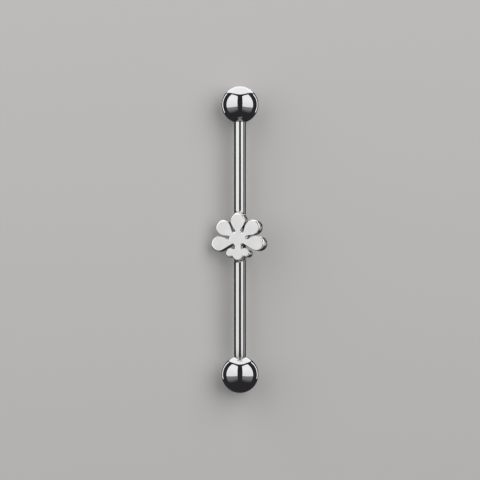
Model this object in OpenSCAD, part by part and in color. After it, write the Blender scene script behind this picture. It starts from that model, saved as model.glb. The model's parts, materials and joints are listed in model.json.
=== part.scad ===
// Industrial barbell, steel: a straight bar with a fixed palmette plaque and two screw-on balls.
// It lies on a flat surface, on both balls and the back edge of one side leaf of the plaque.
// +Y runs from the bottom ball to the top ball and +Z is up. The origin is on the surface.

/* [Bar] */
// Diameter of the bar, 14 gauge
bar_d = 1.6; // [1.2:0.1:1.6]
// Bare bar between the two balls
bar_len = 32; // [28:1:42]
// Step on the radius from the bar down to the threaded end posts
post_step = 0.2; // [0.15:0.01:0.25]
// Length of each end post
post_len = 2.5; // [1.5:0.1:3]
// Chamfer on the tip of each post
post_chamfer = 0.2; // [0.1:0.05:0.3]

/* [Balls] */
// Diameter of each ball
ball_d = 5; // [4:0.5:6]
// Diameter of the flat face round the mouth of the bore
mouth_d = 1.8; // [1.7:0.1:2.2]
// Radial clearance between a post and its bore
post_clear = 0.03; // [0.02:0.005:0.05]
// Space left between the post's tip and the floor of the bore
tip_space = 0.3; // [0.2:0.1:0.5]
// Gap between a tightened ball and the bar's shoulder
seat_gap = 0.02; // [0.01:0.01:0.05]
// How far each ball is turned about the bar's axis
ball_turn = 4.7; // [0:0.1:10]

/* [Plaque] */
// Thickness of the plaque
plaque_t = 1.6; // [1.2:0.1:2]
// Depth of the plaque that lies behind the bar's axis
plaque_behind = 0.43; // [0.3:0.01:0.6]
// How far the plaque's middle is from the bar's middle, towards the top ball
plaque_shift = 0.3; // [-2:0.1:2]
// Height of the whole palmette
palm_h = 6.5; // [6:0.1:7]
// Radius of the fan that the leaf tips lie on
fan_r = 3.78; // [3.72:0.02:4]
// Angle from one leaf of the fan to the next
leaf_step = 49; // [48:1:50]
// Radius of the round head of each leaf
leaf_r = 1; // [0.94:0.01:1.02]
// Radius of the round foot of each gap between two leaves
gap_r = 0.3; // [0.26:0.01:0.32]
// Distance of that round foot's middle from the fan's root
gap_at = 1.62; // [1.56:0.02:1.66]
// Radius of the round notch between each lowest leaf and the stem
notch_r = 0.36; // [0.32:0.02:0.4]
// Distance of each notch's middle below the palmette's middle
notch_below = 1.37; // [1.3:0.01:1.42]
// Width of the stem between the fan and the drop
stem_w = 0.92; // [0.8:0.02:1.2]
// Radius of the round drop at the foot of the stem
drop_r = 0.8; // [0.7:0.02:0.9]
// Radius of the two round buds beside the drop
bud_r = 0.52; // [0.46:0.02:0.56]
// Distance of each bud's middle from the middle line
bud_x = 1.17; // [1.1:0.01:1.2]
// Distance of each bud's middle below the palmette's middle
bud_below = 2.25; // [2.2:0.01:2.35]
// Rounding of the inner corners between the stem, the drop and the buds
foot_crook = 0.22; // [0.14:0.01:0.24]
// Rounding of the outline's other inner corners
crook_r = 0.12; // [0.05:0.01:0.15]

/* [Solder] */
// Length of the solder fillet where the bar leaves the plaque
solder_len = 0.5; // [0.3:0.05:0.8]
// How far the solder stands out from the bar at the plaque's wall
solder_rise = 0.24; // [0.15:0.01:0.3]

/* [Hidden] */

bar_r = bar_d / 2;
ball_r = ball_d / 2;
post_r = bar_r - post_step;
mouth_r = mouth_d / 2;
bore_r = post_r + post_clear;
bore_depth = seat_gap + post_len + tip_space;
// distance from a ball's centre to the flat face round its mouth
mouth_at = sqrt(ball_r * ball_r - mouth_r * mouth_r);
ball_at = bar_len / 2 + seat_gap + mouth_at;

// the fan's root, measured from the plaque's middle: the top leaf reaches the top of the palmette
root_y = palm_h / 2 - fan_r;
drop_y = drop_r - palm_h / 2;
// where the lowest leaves reach out to on each side
leaf_reach = leaf_r + (fan_r - leaf_r) * sin(2 * leaf_step);

// the back edge of a lowest leaf touches the surface when the bar has turned by this angle
lean = asin(ball_r / norm([leaf_reach, plaque_behind])) - atan2(plaque_behind, leaf_reach);

// Where a straight flank touches two circles that lie on opposite sides of it
function flank(a, ra, b, rb, side) =
    let (
        along = atan2(b.y - a.y, b.x - a.x),
        out = along + side * acos((ra + rb) / norm(b - a)),
        way = [cos(out), sin(out)]
    ) [b - rb * way, a + ra * way];

// A point in the fan, from its distance to the root and its angle from the top leaf
function in_fan(reach, angle) = [reach * sin(angle), root_y + reach * cos(angle)];

// The middle of the round foot of a gap, or of the notch past each lowest leaf
function foot_of(k) = abs(k) < 2 ? in_fan(gap_at, k * leaf_step)
    : [sign(k) * (stem_w / 2 + notch_r), -notch_below];
function foot_r(k) = abs(k) < 2 ? gap_r : notch_r;

// Five round-headed leaves, the top one over the bar and the lowest just under level
module fan() {
    difference() {
        union() {
            for (k = [-2:2])
                translate(in_fan(fan_r - leaf_r, k * leaf_step))
                    circle(r = leaf_r, $fn = 64);
            polygon([
                for (k = [-2:2])
                    let (head = in_fan(fan_r - leaf_r, k * leaf_step), left = k - 0.5, right = k + 0.5)
                        each concat(
                            [foot_of(left)],
                            flank(head, leaf_r, foot_of(left), foot_r(left), -1),
                            [for (at = [1, 0]) flank(head, leaf_r, foot_of(right), foot_r(right), 1)[at]],
                            [foot_of(right)]
                        ),
            ]);
        }
        // drawn just outside its true circle, so that no sliver stays where a flank ends on it
        for (k = [-2.5:2.5])
            translate(foot_of(k))
                circle(r = foot_r(k) / cos(180 / 48), $fn = 48);
    }
}

// The stem, from the fan's root down to a foot of one drop and two buds
module stem_and_foot() {
    offset(r = -foot_crook, $fn = 36)
        offset(r = foot_crook, $fn = 36) {
            translate([-stem_w / 2, drop_y])
                square([stem_w, root_y - drop_y]);
            translate([0, drop_y])
                circle(r = drop_r, $fn = 60);
            for (side = [-1, 1])
                translate([side * bud_x, -bud_below])
                    circle(r = bud_r, $fn = 48);
        }
}

// Outline of the palmette
module palmette() {
    offset(r = -crook_r, $fn = 28)
        offset(r = crook_r, $fn = 28) {
            fan();
            stem_and_foot();
        }
}

// A length of round section along Y from y0 to y1, with its own radius at each end
module round_y(y0, y1, r0, r1) {
    translate([0, y0, 0])
        rotate([-90, 0, 0])
            cylinder(h = y1 - y0, r1 = r0, r2 = r1, $fn = 64);
}

// The post on the top end: a plain cylinder over the thread, with a chamfered tip
module post() {
    tip = bar_len / 2 + post_len;
    round_y(bar_len / 2 - 0.1, tip - post_chamfer, post_r, post_r);
    round_y(tip - post_chamfer, tip, post_r, post_r - post_chamfer);
}

// Bar, posts, plaque and solder are one soldered piece, here with the bar's axis along Y at z = 0
module bar_and_plaque() {
    plaque_top = plaque_shift + palm_h / 2;
    plaque_foot = plaque_shift - palm_h / 2;
    round_y(-bar_len / 2, bar_len / 2, bar_r, bar_r);
    post();
    mirror([0, 1, 0])
        post();
    translate([0, plaque_shift, -plaque_behind])
        linear_extrude(height = plaque_t)
            palmette();
    // each fillet starts inside the plaque, so that it meets the curved end of the leaf or the drop
    sunk = 0.15;
    round_y(plaque_top - sunk, plaque_top + solder_len, bar_r + solder_rise, bar_r);
    round_y(plaque_foot - solder_len, plaque_foot + sunk, bar_r, bar_r + solder_rise);
}

// The top ball, seated: a ball turned about the bar's axis, faced flat round a blind bore for the post
module seated_ball() {
    mouth_y = ball_at - mouth_at;
    translate([0, 0, ball_r])
        rotate([-90, 0, 0])
            rotate([0, 0, ball_turn])
                rotate_extrude($fn = 96)
                    difference() {
                        intersection() {
                            translate([0, ball_at])
                                circle(d = ball_d, $fn = 96);
                            translate([0, mouth_y])
                                square([ball_r, ball_d]);
                        }
                        translate([0, mouth_y - seat_gap])
                            square([bore_r, bore_depth]);
                    }
}

// The bar and plaque, turned about the bar's axis to the way they lie
module emblem_bar() {
    color([0.80, 0.80, 0.79])
        translate([0, 0, ball_r])
            rotate([0, -lean, 0])
                bar_and_plaque();
}

module top_ball() {
    color([0.72, 0.73, 0.75])
        seated_ball();
}

module bottom_ball() {
    color([0.72, 0.73, 0.75])
        mirror([0, 1, 0])
            seated_ball();
}

emblem_bar();
top_ball();
bottom_ball();
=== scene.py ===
"""An industrial barbell in surgical steel, lying on a pale studio floor, lit by soft boxes."""

import json
from math import asin, atan2, cos, hypot, pi, radians, sin, sqrt, tan

import bmesh
import bpy
from mathutils import Matrix, Vector


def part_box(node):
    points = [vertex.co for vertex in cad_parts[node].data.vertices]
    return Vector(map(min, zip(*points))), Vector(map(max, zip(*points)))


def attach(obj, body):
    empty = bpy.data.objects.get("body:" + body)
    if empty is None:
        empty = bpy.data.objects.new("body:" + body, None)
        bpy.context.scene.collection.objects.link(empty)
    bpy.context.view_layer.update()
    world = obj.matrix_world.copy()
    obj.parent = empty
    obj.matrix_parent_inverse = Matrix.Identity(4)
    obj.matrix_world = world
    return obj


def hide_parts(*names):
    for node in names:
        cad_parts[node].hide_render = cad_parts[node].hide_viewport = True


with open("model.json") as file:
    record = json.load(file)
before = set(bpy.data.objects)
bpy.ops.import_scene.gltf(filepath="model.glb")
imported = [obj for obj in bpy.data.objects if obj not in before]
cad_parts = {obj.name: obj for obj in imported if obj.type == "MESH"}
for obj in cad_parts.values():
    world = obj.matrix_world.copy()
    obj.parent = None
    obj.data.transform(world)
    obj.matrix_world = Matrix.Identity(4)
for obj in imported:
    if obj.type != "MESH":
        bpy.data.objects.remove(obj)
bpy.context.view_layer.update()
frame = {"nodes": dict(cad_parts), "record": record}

# How it lies. Both balls and the back edge of one side leaf touch the floor, so the bar has
# turned about its own axis. Each piece is shaped in millimetres, with the bar along Y at z = 0
# and the plaque's face towards +Z, and lying then brings it down to metres and to the floor.
mm = 0.001
ball_low, ball_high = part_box("top_ball")
ball_r = (ball_high.z - ball_low.z) / 2 / mm
leaf_reach = 3.753
plaque_behind = 0.43
lean = asin(ball_r / hypot(leaf_reach, plaque_behind)) - atan2(plaque_behind, leaf_reach)
lying = Matrix.Scale(mm, 4) @ Matrix.Translation((0, 0, ball_r)) @ Matrix.Rotation(-lean, 4, "Y")


def add_piece(name, bm, material, body):
    """Lays a finished shape down as a piece that rides on a body."""
    bmesh.ops.transform(bm, matrix=lying, verts=bm.verts)
    mesh = bpy.data.meshes.new(name)
    bm.to_mesh(mesh)
    bm.free()
    mesh.materials.append(material)
    piece = bpy.data.objects.new(name, mesh)
    bpy.context.scene.collection.objects.link(piece)
    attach(piece, body)
    return piece


# The bar. A drawn rod of surgical steel, centreless ground and polished along its length. Both
# ends are turned down a little and threaded for the balls, with a chamfered tip.
bar_mount = next(m for m in frame["record"]["mounts"] if m["name"] == "bar_upper")
bar_r = bar_mount["dims"]["r_mm"]
bar_half = 16
bar_edge = 0.04
post_step = 0.2
post_len = 2.5
tip_chamfer = 0.2
thread_pitch = 0.25
thread_depth = 0.09
ridge_sunk = 0.02
neck = 0.25
post_r = bar_r - post_step
post_tip = bar_half + post_len
core_r = post_r - thread_depth


def turn(outline, steps):
    """A shape turned round the bar's axis from an outline of (place along Y, radius) points."""
    bm = bmesh.new()
    verts = [bm.verts.new((radius, y, 0)) for y, radius in outline]
    edges = [bm.edges.new(pair) for pair in zip(verts, verts[1:])]
    bmesh.ops.spin(bm, geom=verts + edges, cent=(0, 0, 0), axis=(0, 1, 0),
                   angle=2 * pi, steps=steps, use_merge=True)
    bmesh.ops.remove_doubles(bm, verts=bm.verts, dist=1e-4)
    bmesh.ops.recalc_face_normals(bm, faces=bm.faces)
    for face in bm.faces:
        face.smooth = True
    return bm


def arc(y, radius, reach, start, end, count):
    """Points on a circle round (y, radius), from one angle to another, 0 being along +Y."""
    steps = [start + (end - start) * k / count for k in range(count + 1)]
    return [(y + reach * cos(a), radius + reach * sin(a)) for a in steps]


def steel(name, colour, roughness):
    """A bare steel material, with its shader and an Object coordinate in bar millimetres."""
    material = bpy.data.materials.new(name)
    material.use_nodes = True
    nodes = material.node_tree.nodes
    shader = nodes["Principled BSDF"]
    shader.inputs["Base Color"].default_value = (*colour, 1)
    shader.inputs["Metallic"].default_value = 1
    shader.inputs["Roughness"].default_value = roughness
    place = nodes.new("ShaderNodeTexCoord")
    turned = nodes.new("ShaderNodeMapping")
    turned.inputs["Rotation"].default_value = (0, lean, 0)
    turned.inputs["Scale"].default_value = (1 / mm,) * 3
    material.node_tree.links.new(place.outputs["Object"], turned.inputs["Vector"])
    return material, shader, turned.outputs["Vector"]


def noise(material, vector, stretch, detail=4, rough=0.55):
    """Noise over a stretched coordinate: its scale is the number of blotches per millimetre."""
    nodes = material.node_tree.nodes
    scaled = nodes.new("ShaderNodeMapping")
    scaled.inputs["Scale"].default_value = stretch
    grain = nodes.new("ShaderNodeTexNoise")
    grain.inputs["Scale"].default_value = 1
    grain.inputs["Detail"].default_value = detail
    grain.inputs["Roughness"].default_value = rough
    material.node_tree.links.new(vector, scaled.inputs["Vector"])
    material.node_tree.links.new(scaled.outputs["Vector"], grain.inputs["Vector"])
    return grain.outputs["Fac"]


def ranged(material, value, low, high, to_low, to_high):
    """Spreads a value from one range over another, and holds it inside that."""
    spread = material.node_tree.nodes.new("ShaderNodeMapRange")
    spread.inputs["From Min"].default_value = low
    spread.inputs["From Max"].default_value = high
    spread.inputs["To Min"].default_value = to_low
    spread.inputs["To Max"].default_value = to_high
    material.node_tree.links.new(value, spread.inputs["Value"])
    return spread.outputs["Result"]


def relief(material, height, depth, under=None):
    """Bump of a real depth in millimetres, laid over another bump if there is one."""
    bump = material.node_tree.nodes.new("ShaderNodeBump")
    bump.inputs["Distance"].default_value = depth * mm
    material.node_tree.links.new(height, bump.inputs["Height"])
    if under:
        material.node_tree.links.new(under, bump.inputs["Normal"])
    return bump.outputs["Normal"]


bar_steel, shader, at = steel("bar_steel", (0.57, 0.57, 0.57), 0.07)
drawn = noise(bar_steel, at, (26, 0.35, 26))
smudge = noise(bar_steel, at, (0.5, 0.22, 0.5), detail=3)
link = bar_steel.node_tree.links.new
link(ranged(bar_steel, smudge, 0.35, 0.7, 0.02, 0.05), shader.inputs["Roughness"])
link(relief(bar_steel, drawn, 0.0004), shader.inputs["Normal"])


def thread(at_y, length, root, crest, steps_per_turn=48):
    """One helical ridge with a narrow flat crest, its root sunk into the wall that carries it."""
    flank = thread_pitch * 0.38
    top = thread_pitch * 0.07
    bm = bmesh.new()
    section = [(-flank, root), (-top, crest), (top, crest), (flank, root)]
    verts = [bm.verts.new((radius, at_y + y, 0)) for y, radius in section]
    edges = [bm.edges.new((verts[k], verts[(k + 1) % len(verts)])) for k in range(len(verts))]
    turns = length / thread_pitch
    steps = round(turns * steps_per_turn)
    bmesh.ops.spin(bm, geom=verts + edges, cent=(0, 0, 0), axis=(0, 1, 0), angle=2 * pi * turns,
                   dvec=(0, length / steps, 0), steps=steps)
    bmesh.ops.holes_fill(bm, edges=[e for e in bm.edges if e.is_boundary], sides=4)
    bmesh.ops.recalc_face_normals(bm, faces=bm.faces)
    for face in bm.faces:
        face.smooth = False
    return bm


def join(bm, other):
    """Moves another shape into this one."""
    mesh = bpy.data.meshes.new("joined")
    other.to_mesh(mesh)
    other.free()
    bm.from_mesh(mesh)
    bpy.data.meshes.remove(mesh)


end_outline = (
    arc(bar_half - bar_edge, bar_r - bar_edge, bar_edge, pi / 2, 0, 4)
    + [(bar_half, core_r), (post_tip - tip_chamfer, core_r), (post_tip, core_r - tip_chamfer / 2),
       (post_tip, 0)])
outline = [(-y, radius) for y, radius in reversed(end_outline)] + end_outline
bar = turn(outline, 96)
for way in (1, -1):
    ridge = thread(bar_half + neck, post_tip - bar_half - neck - tip_chamfer / 2,
                   core_r - ridge_sunk, post_r)
    for vert in ridge.verts:
        limit = post_r - max(0, vert.co.y - (post_tip - tip_chamfer))
        reach = hypot(vert.co.x, vert.co.z)
        if reach > limit:
            vert.co.x *= limit / reach
            vert.co.z *= limit / reach
    bmesh.ops.rotate(ridge, cent=(0, 0, 0), matrix=Matrix.Rotation((1 - way) * pi / 2, 3, "X"),
                     verts=ridge.verts)
    join(bar, ridge)
add_piece("bar", bar, bar_steel, "bar")
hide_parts("emblem_bar")

# The plaque. An openwork palmette cut from steel sheet, seated over the bar and soldered. Its
# face is an even satin, its rim is rounded and polished, and its cut walls keep fine striae.
# The walls are given a darker steel tone than the face as painted shade, and the rim a lighter
# one as a painted highlight.
plaque_t = 1.6
plaque_front = plaque_t - plaque_behind
front_rim = 0.22
back_rim = 0.08
rim_steps = 6
slice_depth = 0.06
shortest_edge = 0.004

# The outline is sliced off the solid just under its face, and only its true corners are kept.
cut = bmesh.new()
cut.from_mesh(frame["nodes"]["emblem_bar"].data)
wall_rim_or_face = cut.faces.layers.int.new("wall_rim_or_face")
bmesh.ops.transform(cut, matrix=lying.inverted(), verts=cut.verts)
bmesh.ops.remove_doubles(cut, verts=cut.verts, dist=1e-4)
slice_at = plaque_front - slice_depth
sliced = bmesh.ops.bisect_plane(cut, geom=cut.verts[:] + cut.edges[:] + cut.faces[:],
                                plane_co=(0, 0, slice_at), plane_no=(0, 0, 1),
                                clear_inner=True, dist=1e-5)
outline_edges = {e for e in sliced["geom_cut"] if isinstance(e, bmesh.types.BMEdge)}
bmesh.ops.delete(cut, geom=cut.faces[:], context="FACES_ONLY")
bmesh.ops.delete(cut, geom=[e for e in cut.edges if e not in outline_edges], context="EDGES")
bmesh.ops.remove_doubles(cut, verts=cut.verts, dist=shortest_edge)
straight = [v for v in cut.verts if v.calc_edge_angle(pi) < radians(0.2)]
bmesh.ops.dissolve_verts(cut, verts=straight)
bmesh.ops.translate(cut, verts=cut.verts, vec=(0, 0, -plaque_behind + back_rim - slice_at))

# The wall is drawn up from that outline, each rim is rounded inwards from it, and lids close it.
lower = cut.edges[:]
walls = bmesh.ops.extrude_edge_only(cut, edges=lower)["geom"]
upper = [e for e in walls if isinstance(e, bmesh.types.BMEdge) and e.is_boundary]
bmesh.ops.translate(cut, verts=[v for v in walls if isinstance(v, bmesh.types.BMVert)],
                    vec=(0, 0, plaque_t - back_rim - front_rim))
bmesh.ops.recalc_face_normals(cut, faces=cut.faces)
cut.normal_update()
for ring, up, rim in ((lower, -1, back_rim), (upper, 1, front_rim)):
    for k in range(rim_steps):
        a, b = (pi / 2 * k / rim_steps, pi / 2 * (k + 1) / rim_steps)
        rounded = bmesh.ops.extrude_edge_only(cut, edges=ring)["geom"]
        for vert in [v for v in rounded if isinstance(v, bmesh.types.BMVert)]:
            outward = Vector((vert.normal.x, vert.normal.y, 0)).normalized()
            vert.co -= outward * rim * (cos(a) - cos(b))
            vert.co.z += up * rim * (sin(b) - sin(a))
        ring = [e for e in rounded if isinstance(e, bmesh.types.BMEdge) and e.is_boundary]
        for face in [f for f in rounded if isinstance(f, bmesh.types.BMFace)]:
            face[wall_rim_or_face] = 1
    lid = bmesh.ops.triangle_fill(cut, use_beauty=True, edges=ring, normal=(0, 0, up))["geom"]
    for face in [f for f in lid if isinstance(f, bmesh.types.BMFace)]:
        face[wall_rim_or_face] = 2
bmesh.ops.recalc_face_normals(cut, faces=cut.faces)
for face in cut.faces:
    face.smooth = face[wall_rim_or_face] != 2
    face.material_index = face[wall_rim_or_face]

# The walls' steel has a darker tone than the face's and the bar's: painted shade on the cut
# walls. Their striae are real, in roughness and bump.
shaded_wall_steel, shader, at = steel("plaque_wall_painted_shade", (0.40, 0.40, 0.395), 0.22)
striae = noise(shaded_wall_steel, at, (14, 14, 0.5), detail=5)
link = shaded_wall_steel.node_tree.links.new
link(ranged(shaded_wall_steel, striae, 0.3, 0.7, 0.12, 0.34), shader.inputs["Roughness"])
link(relief(shaded_wall_steel, striae, 0.02), shader.inputs["Normal"])

# The rim's steel has a lighter tone than the face's and the bar's: a painted highlight along the
# polished rim. Its rub is real, in roughness.
lit_rim_steel, shader, at = steel("plaque_rim_painted_highlight", (0.82, 0.82, 0.81), 0.13)
rub = noise(lit_rim_steel, at, (9, 9, 9))
link = lit_rim_steel.node_tree.links.new
link(ranged(lit_rim_steel, rub, 0.3, 0.7, 0.09, 0.19), shader.inputs["Roughness"])

satin_steel, shader, at = steel("plaque_satin", (0.71, 0.71, 0.705), 0.42)
cloud = noise(satin_steel, at, (0.6, 0.6, 0.6), detail=3)
peened = noise(satin_steel, at, (70, 70, 70), detail=2)
link = satin_steel.node_tree.links.new
link(ranged(satin_steel, cloud, 0.3, 0.7, 0.38, 0.47), shader.inputs["Roughness"])
link(relief(satin_steel, peened, 0.0018), shader.inputs["Normal"])

plaque = add_piece("palmette_plaque", cut, shaded_wall_steel, "bar")
plaque.data.materials.append(lit_rim_steel)
plaque.data.materials.append(satin_steel)
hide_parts("emblem_bar")

# The solder. A small hollow fillet of silver solder where the bar runs out from under the round
# ends of the top leaf and the drop. It follows their outline, and thins out round the bar's back.
plaque_mid = 0.3
plaque_half = 3.25
solder_len = 0.45
solder_rise = 0.2
solder_lip = 0.05
solder_steps = 14
buried = 0.15
solder, shader, at = steel("solder", (0.56, 0.55, 0.53), 0.2)
flow = noise(solder, at, (4, 4, 4))
link = solder.node_tree.links.new
link(ranged(solder, flow, 0.3, 0.7, 0.14, 0.3), shader.inputs["Roughness"])
link(relief(solder, flow, 0.008), shader.inputs["Normal"])
for name, way, end_r in (("upper_solder", 1, 1.0), ("lower_solder", -1, 0.8)):
    root_at = plaque_half + way * plaque_mid - 0.02
    lip = arc(root_at, bar_r + solder_rise - solder_lip, solder_lip, pi, pi / 4, 6)
    slope_at, slope_r = lip[-1]
    steps = [k / solder_steps for k in range(1, solder_steps + 1)]
    fillet = turn([(root_at - buried, bar_r - 0.1), (root_at - buried, bar_r)] + lip
                  + [(slope_at + (root_at + solder_len - slope_at) * s,
                      bar_r - 0.01 + (slope_r - bar_r + 0.01) * (1 - s) ** 2.4) for s in steps]
                  + [(root_at + solder_len, bar_r - 0.1), (root_at - buried, bar_r - 0.1)], 96)
    for vert in fillet.verts:
        reach = hypot(vert.co.x, vert.co.z)
        sideways, frontward = vert.co.x / reach, vert.co.z / reach
        spread = max(0, vert.co.y - root_at) / solder_len
        behind = min(1, max(0, (frontward * bar_r + plaque_behind) / 0.3))
        keep = behind * (1 - 0.55 * sideways ** 2)
        thinned = min(reach, bar_r - 0.02 + (reach - bar_r + 0.02) * keep)
        vert.co.x *= thinned / reach
        vert.co.z *= thinned / reach
        vert.co.y -= min(0.4, end_r - sqrt(max(0, end_r ** 2 - (bar_r * sideways) ** 2)))
        vert.co.y += spread * 0.05 * sin(3 * atan2(sideways, frontward) + way)
    bmesh.ops.rotate(fillet, cent=(0, 0, 0), matrix=Matrix.Rotation((1 - way) * pi / 2, 3, "Y") @
                     Matrix.Rotation((1 - way) * pi / 2, 3, "X"), verts=fillet.verts)
    piece = add_piece(name, fillet, solder, "bar")
    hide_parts("emblem_bar")

# The balls. Each is turned from solid steel and tumbled to a mirror. A flat is faced round the
# mouth of a blind hole, drilled and tapped for the post, and the ball screws up to the shoulder.
mouth_r = 0.9
mouth_edge = 0.05
post_clear = 0.03
tip_space = 0.3
ball_gap = 0.02
bore_thread = 2.1
bore_r = post_r + post_clear
mouth_at = bar_half + ball_gap
bore_end = bar_half + ball_gap + post_len + tip_space
centre_at = mouth_at + sqrt(ball_r ** 2 - mouth_r ** 2)
drill_slope = tan(radians(59))

ball_steel, shader, at = steel("ball_steel", (0.56, 0.56, 0.57), 0.04)
haze = noise(ball_steel, at, (0.45, 0.45, 0.45), detail=4)
hairs = noise(ball_steel, at, (40, 1.2, 9), detail=2)
swirl = noise(ball_steel, at, (2.2, 30, 12), detail=2)
link = ball_steel.node_tree.links.new
link(ranged(ball_steel, haze, 0.4, 0.75, 0.025, 0.075), shader.inputs["Roughness"])
hair_bump = relief(ball_steel, ranged(ball_steel, hairs, 0.68, 0.76, 0, 1), 0.0002)
swirl_bump = relief(ball_steel, ranged(ball_steel, swirl, 0.68, 0.76, 0, 1), 0.0002,
                    under=hair_bump)
link(swirl_bump, shader.inputs["Normal"])

mouth_angle = pi - asin(mouth_r / ball_r)
for name, way in (("top_ball", 1), ("bottom_ball", -1)):
    outline = arc(centre_at, 0, ball_r, 0, mouth_angle - 0.02, 110)
    outline += [(mouth_at, mouth_r - mouth_edge), (mouth_at, bore_r + mouth_edge),
                (mouth_at + mouth_edge, bore_r), (bore_end, bore_r),
                (bore_end + bore_r / drill_slope, 0)]
    outline[0] = (centre_at + ball_r, 0)
    ball = turn(outline, 144)
    inner = thread(bar_half + neck + thread_pitch / 2, bore_thread,
                   bore_r + ridge_sunk, core_r + post_clear)
    join(ball, inner)
    bmesh.ops.rotate(ball, cent=(0, 0, 0), matrix=Matrix.Rotation((1 - way) * pi / 2, 3, "X"),
                     verts=ball.verts)
    piece = add_piece(name + "_polished", ball, ball_steel, name)
    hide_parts(name)

# The floor. A plain pale sweep of paper that curves up into a low wall all round. It is kept out
# of reflections, so that the polished steel keeps its dark tones.
floor_flat = 1.1
floor_curve = 0.7
sweep = bmesh.new()
rising = [pi / 2 * k / 12 for k in range(1, 9)]
verts = [sweep.verts.new((x, 0, z)) for x, z in
         [(0, 0), (floor_flat, 0)]
         + [(floor_flat + floor_curve * sin(a), floor_curve * (1 - cos(a))) for a in rising]]
edges = [sweep.edges.new(pair) for pair in zip(verts, verts[1:])]
bmesh.ops.spin(sweep, geom=verts + edges, cent=(0, 0, 0), axis=(0, 0, 1), angle=2 * pi,
               steps=96, use_merge=True)
bmesh.ops.remove_doubles(sweep, verts=sweep.verts, dist=1e-6)
bmesh.ops.recalc_face_normals(sweep, faces=sweep.faces)
for face in sweep.faces:
    face.smooth = True
floor_mesh = bpy.data.meshes.new("floor")
sweep.to_mesh(floor_mesh)
sweep.free()
pale_paper = bpy.data.materials.new("pale_paper")
pale_paper.use_nodes = True
paper_shader = pale_paper.node_tree.nodes["Principled BSDF"]
paper_shader.inputs["Base Color"].default_value = (0.63, 0.62, 0.61, 1)
paper_shader.inputs["Roughness"].default_value = 1
paper_shader.inputs["Specular IOR Level"].default_value = 0
floor_mesh.materials.append(pale_paper)
floor = bpy.data.objects.new("floor", floor_mesh)
bpy.context.scene.collection.objects.link(floor)
floor.visible_glossy = False
floor.visible_shadow = False

# The light. Two soft boxes light the paper. The steel has its own: two beside the camera with a
# dark gap between them, narrower for the bar, a round one past the top ball, a strip far round on
# each side, and a dim panel past the bottom ball.
camera_side = radians(16)
camera_rise = radians(-3)
middle = Vector((0, 0, ball_r * mm))
facing = lying.to_quaternion() @ Vector((sin(camera_side) * cos(camera_rise), sin(camera_rise),
                                         cos(camera_side) * cos(camera_rise)))
across = Vector((0, 1, 0)).cross(facing).normalized()
upward = facing.cross(across)
light_far = 0.32


def soft_box(name, side, rise, width, height, radiance, lit, spill=0.0, shape="RECTANGLE"):
    """An area light facing the barbell, side and rise being degrees from the camera's direction.

    It lights only the objects that are named in lit. The lowest part of its height, spill, is
    faint and fades out downwards."""
    way = (facing * cos(radians(side)) + across * sin(radians(side))) * cos(radians(rise))
    way += upward * sin(radians(rise))
    light = bpy.data.lights.new(name, "AREA")
    light.shape = shape
    light.size = width
    light.size_y = height
    light.energy = radiance * pi * width * height
    light.use_nodes = True
    nodes = light.node_tree.nodes
    link = light.node_tree.links.new
    cloth = nodes.new("ShaderNodeNewGeometry")
    parts = nodes.new("ShaderNodeSeparateXYZ")
    fade = nodes.new("ShaderNodeValToRGB")
    fade.color_ramp.interpolation = "EASE"
    stops = fade.color_ramp.elements
    stops[0].position, stops[0].color = 0, (0, 0, 0, 1)
    stops[1].position, stops[1].color = 1, (1, 1, 1, 1)
    if spill:
        for position, level in ((spill - 0.25, 0), (spill - 0.02, 0.19), (spill, 0.86),
                                (spill + 0.25, 1)):
            stops.new(position).color = (level, level, level, 1)
    else:
        stops[0].color = (1, 1, 1, 1)
    link(cloth.outputs["Parametric"], parts.inputs["Vector"])
    link(parts.outputs["Y"], fade.inputs["Fac"])
    link(fade.outputs["Color"], nodes["Emission"].inputs["Color"])
    lamp = bpy.data.objects.new(name, light)
    side_axis = upward.cross(way).normalized()
    turned = Matrix((side_axis, way.cross(side_axis), way)).transposed()
    lamp.matrix_world = Matrix.Translation(middle + way * light_far) @ turned.to_4x4()
    lamp.visible_camera = False
    bpy.context.scene.collection.objects.link(lamp)
    receivers = bpy.data.collections.new(name + "_lights")
    for piece in lit:
        receivers.objects.link(bpy.data.objects[piece])
    lamp.light_linking.receiver_collection = receivers


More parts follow.
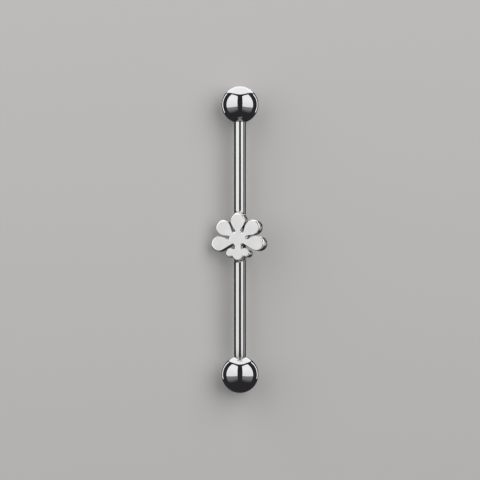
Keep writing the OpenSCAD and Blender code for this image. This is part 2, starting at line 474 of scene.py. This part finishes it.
paper = ("floor",)
balls = ("top_ball_polished", "bottom_ball_polished")
emblem = ("palmette_plaque", "upper_solder", "lower_solder")
soft_box("left_key", -42.6, 14, 0.30, 0.60, 1.52, paper, spill=0.28)
soft_box("right_key", 44.5, 14, 0.32, 0.60, 1.52, paper, spill=0.28)
soft_box("left_box", -55, -4, 0.52, 1.14, 1.42, balls + emblem, spill=0.47)
soft_box("right_box", 53, -4, 0.49, 1.14, 1.42, balls + emblem, spill=0.47)
soft_box("left_strip", -141, 9, 0.055, 0.27, 1.8, balls + emblem)
soft_box("right_strip", 139, 9, 0.055, 0.27, 1.8, balls + emblem)
soft_box("cap", 0, 116, 0.44, 0.74, 1.12, balls + emblem + ("bar",), shape="ELLIPSE")
soft_box("left_bar_box", -53.5, 8, 0.41, 0.74, 1.42, ("bar",), spill=0.37)
soft_box("right_bar_box", 42, 8, 0.25, 0.74, 1.42, ("bar",), spill=0.37)
soft_box("bar_edge", 93, 8, 0.17, 0.74, 0.42, ("bar",), spill=0.37)
soft_box("far_panel", 0, -50, 1.00, 0.26, 0.5, emblem + ("bar",))

# The room is brighter where it lights the paper than where the steel reflects it.
world = bpy.data.worlds.new("studio")
world.use_nodes = True
room = world.node_tree.nodes["Background"]
ray = world.node_tree.nodes.new("ShaderNodeLightPath")
tone = world.node_tree.nodes.new("ShaderNodeMix")
tone.data_type = "RGBA"
tone.inputs["A"].default_value = (0.20, 0.20, 0.203, 1)
tone.inputs["B"].default_value = (0.035, 0.035, 0.037, 1)
world.node_tree.links.new(ray.outputs["Is Glossy Ray"], tone.inputs["Factor"])
world.node_tree.links.new(tone.outputs["Result"], room.inputs["Color"])
bpy.context.scene.world = world
bpy.context.scene.view_settings.view_transform = "Standard"

# The camera. A long lens square to the bar, on the side of the plaque that shows its wall.
frame_width = 65.2 * mm
frame_drop = 0.09 * mm
lens = 300
sensor = 36
camera_data = bpy.data.cameras.new("camera")
camera_data.lens = lens
camera_data.sensor_width = sensor
camera_data.clip_start = 0.01
camera = bpy.data.objects.new("camera", camera_data)
turned = Matrix((across, upward, facing)).transposed().to_4x4()
aim = middle - upward * frame_drop
camera.matrix_world = Matrix.Translation(aim + facing * frame_width * lens / sensor) @ turned
bpy.context.scene.collection.objects.link(camera)
bpy.context.scene.camera = camera
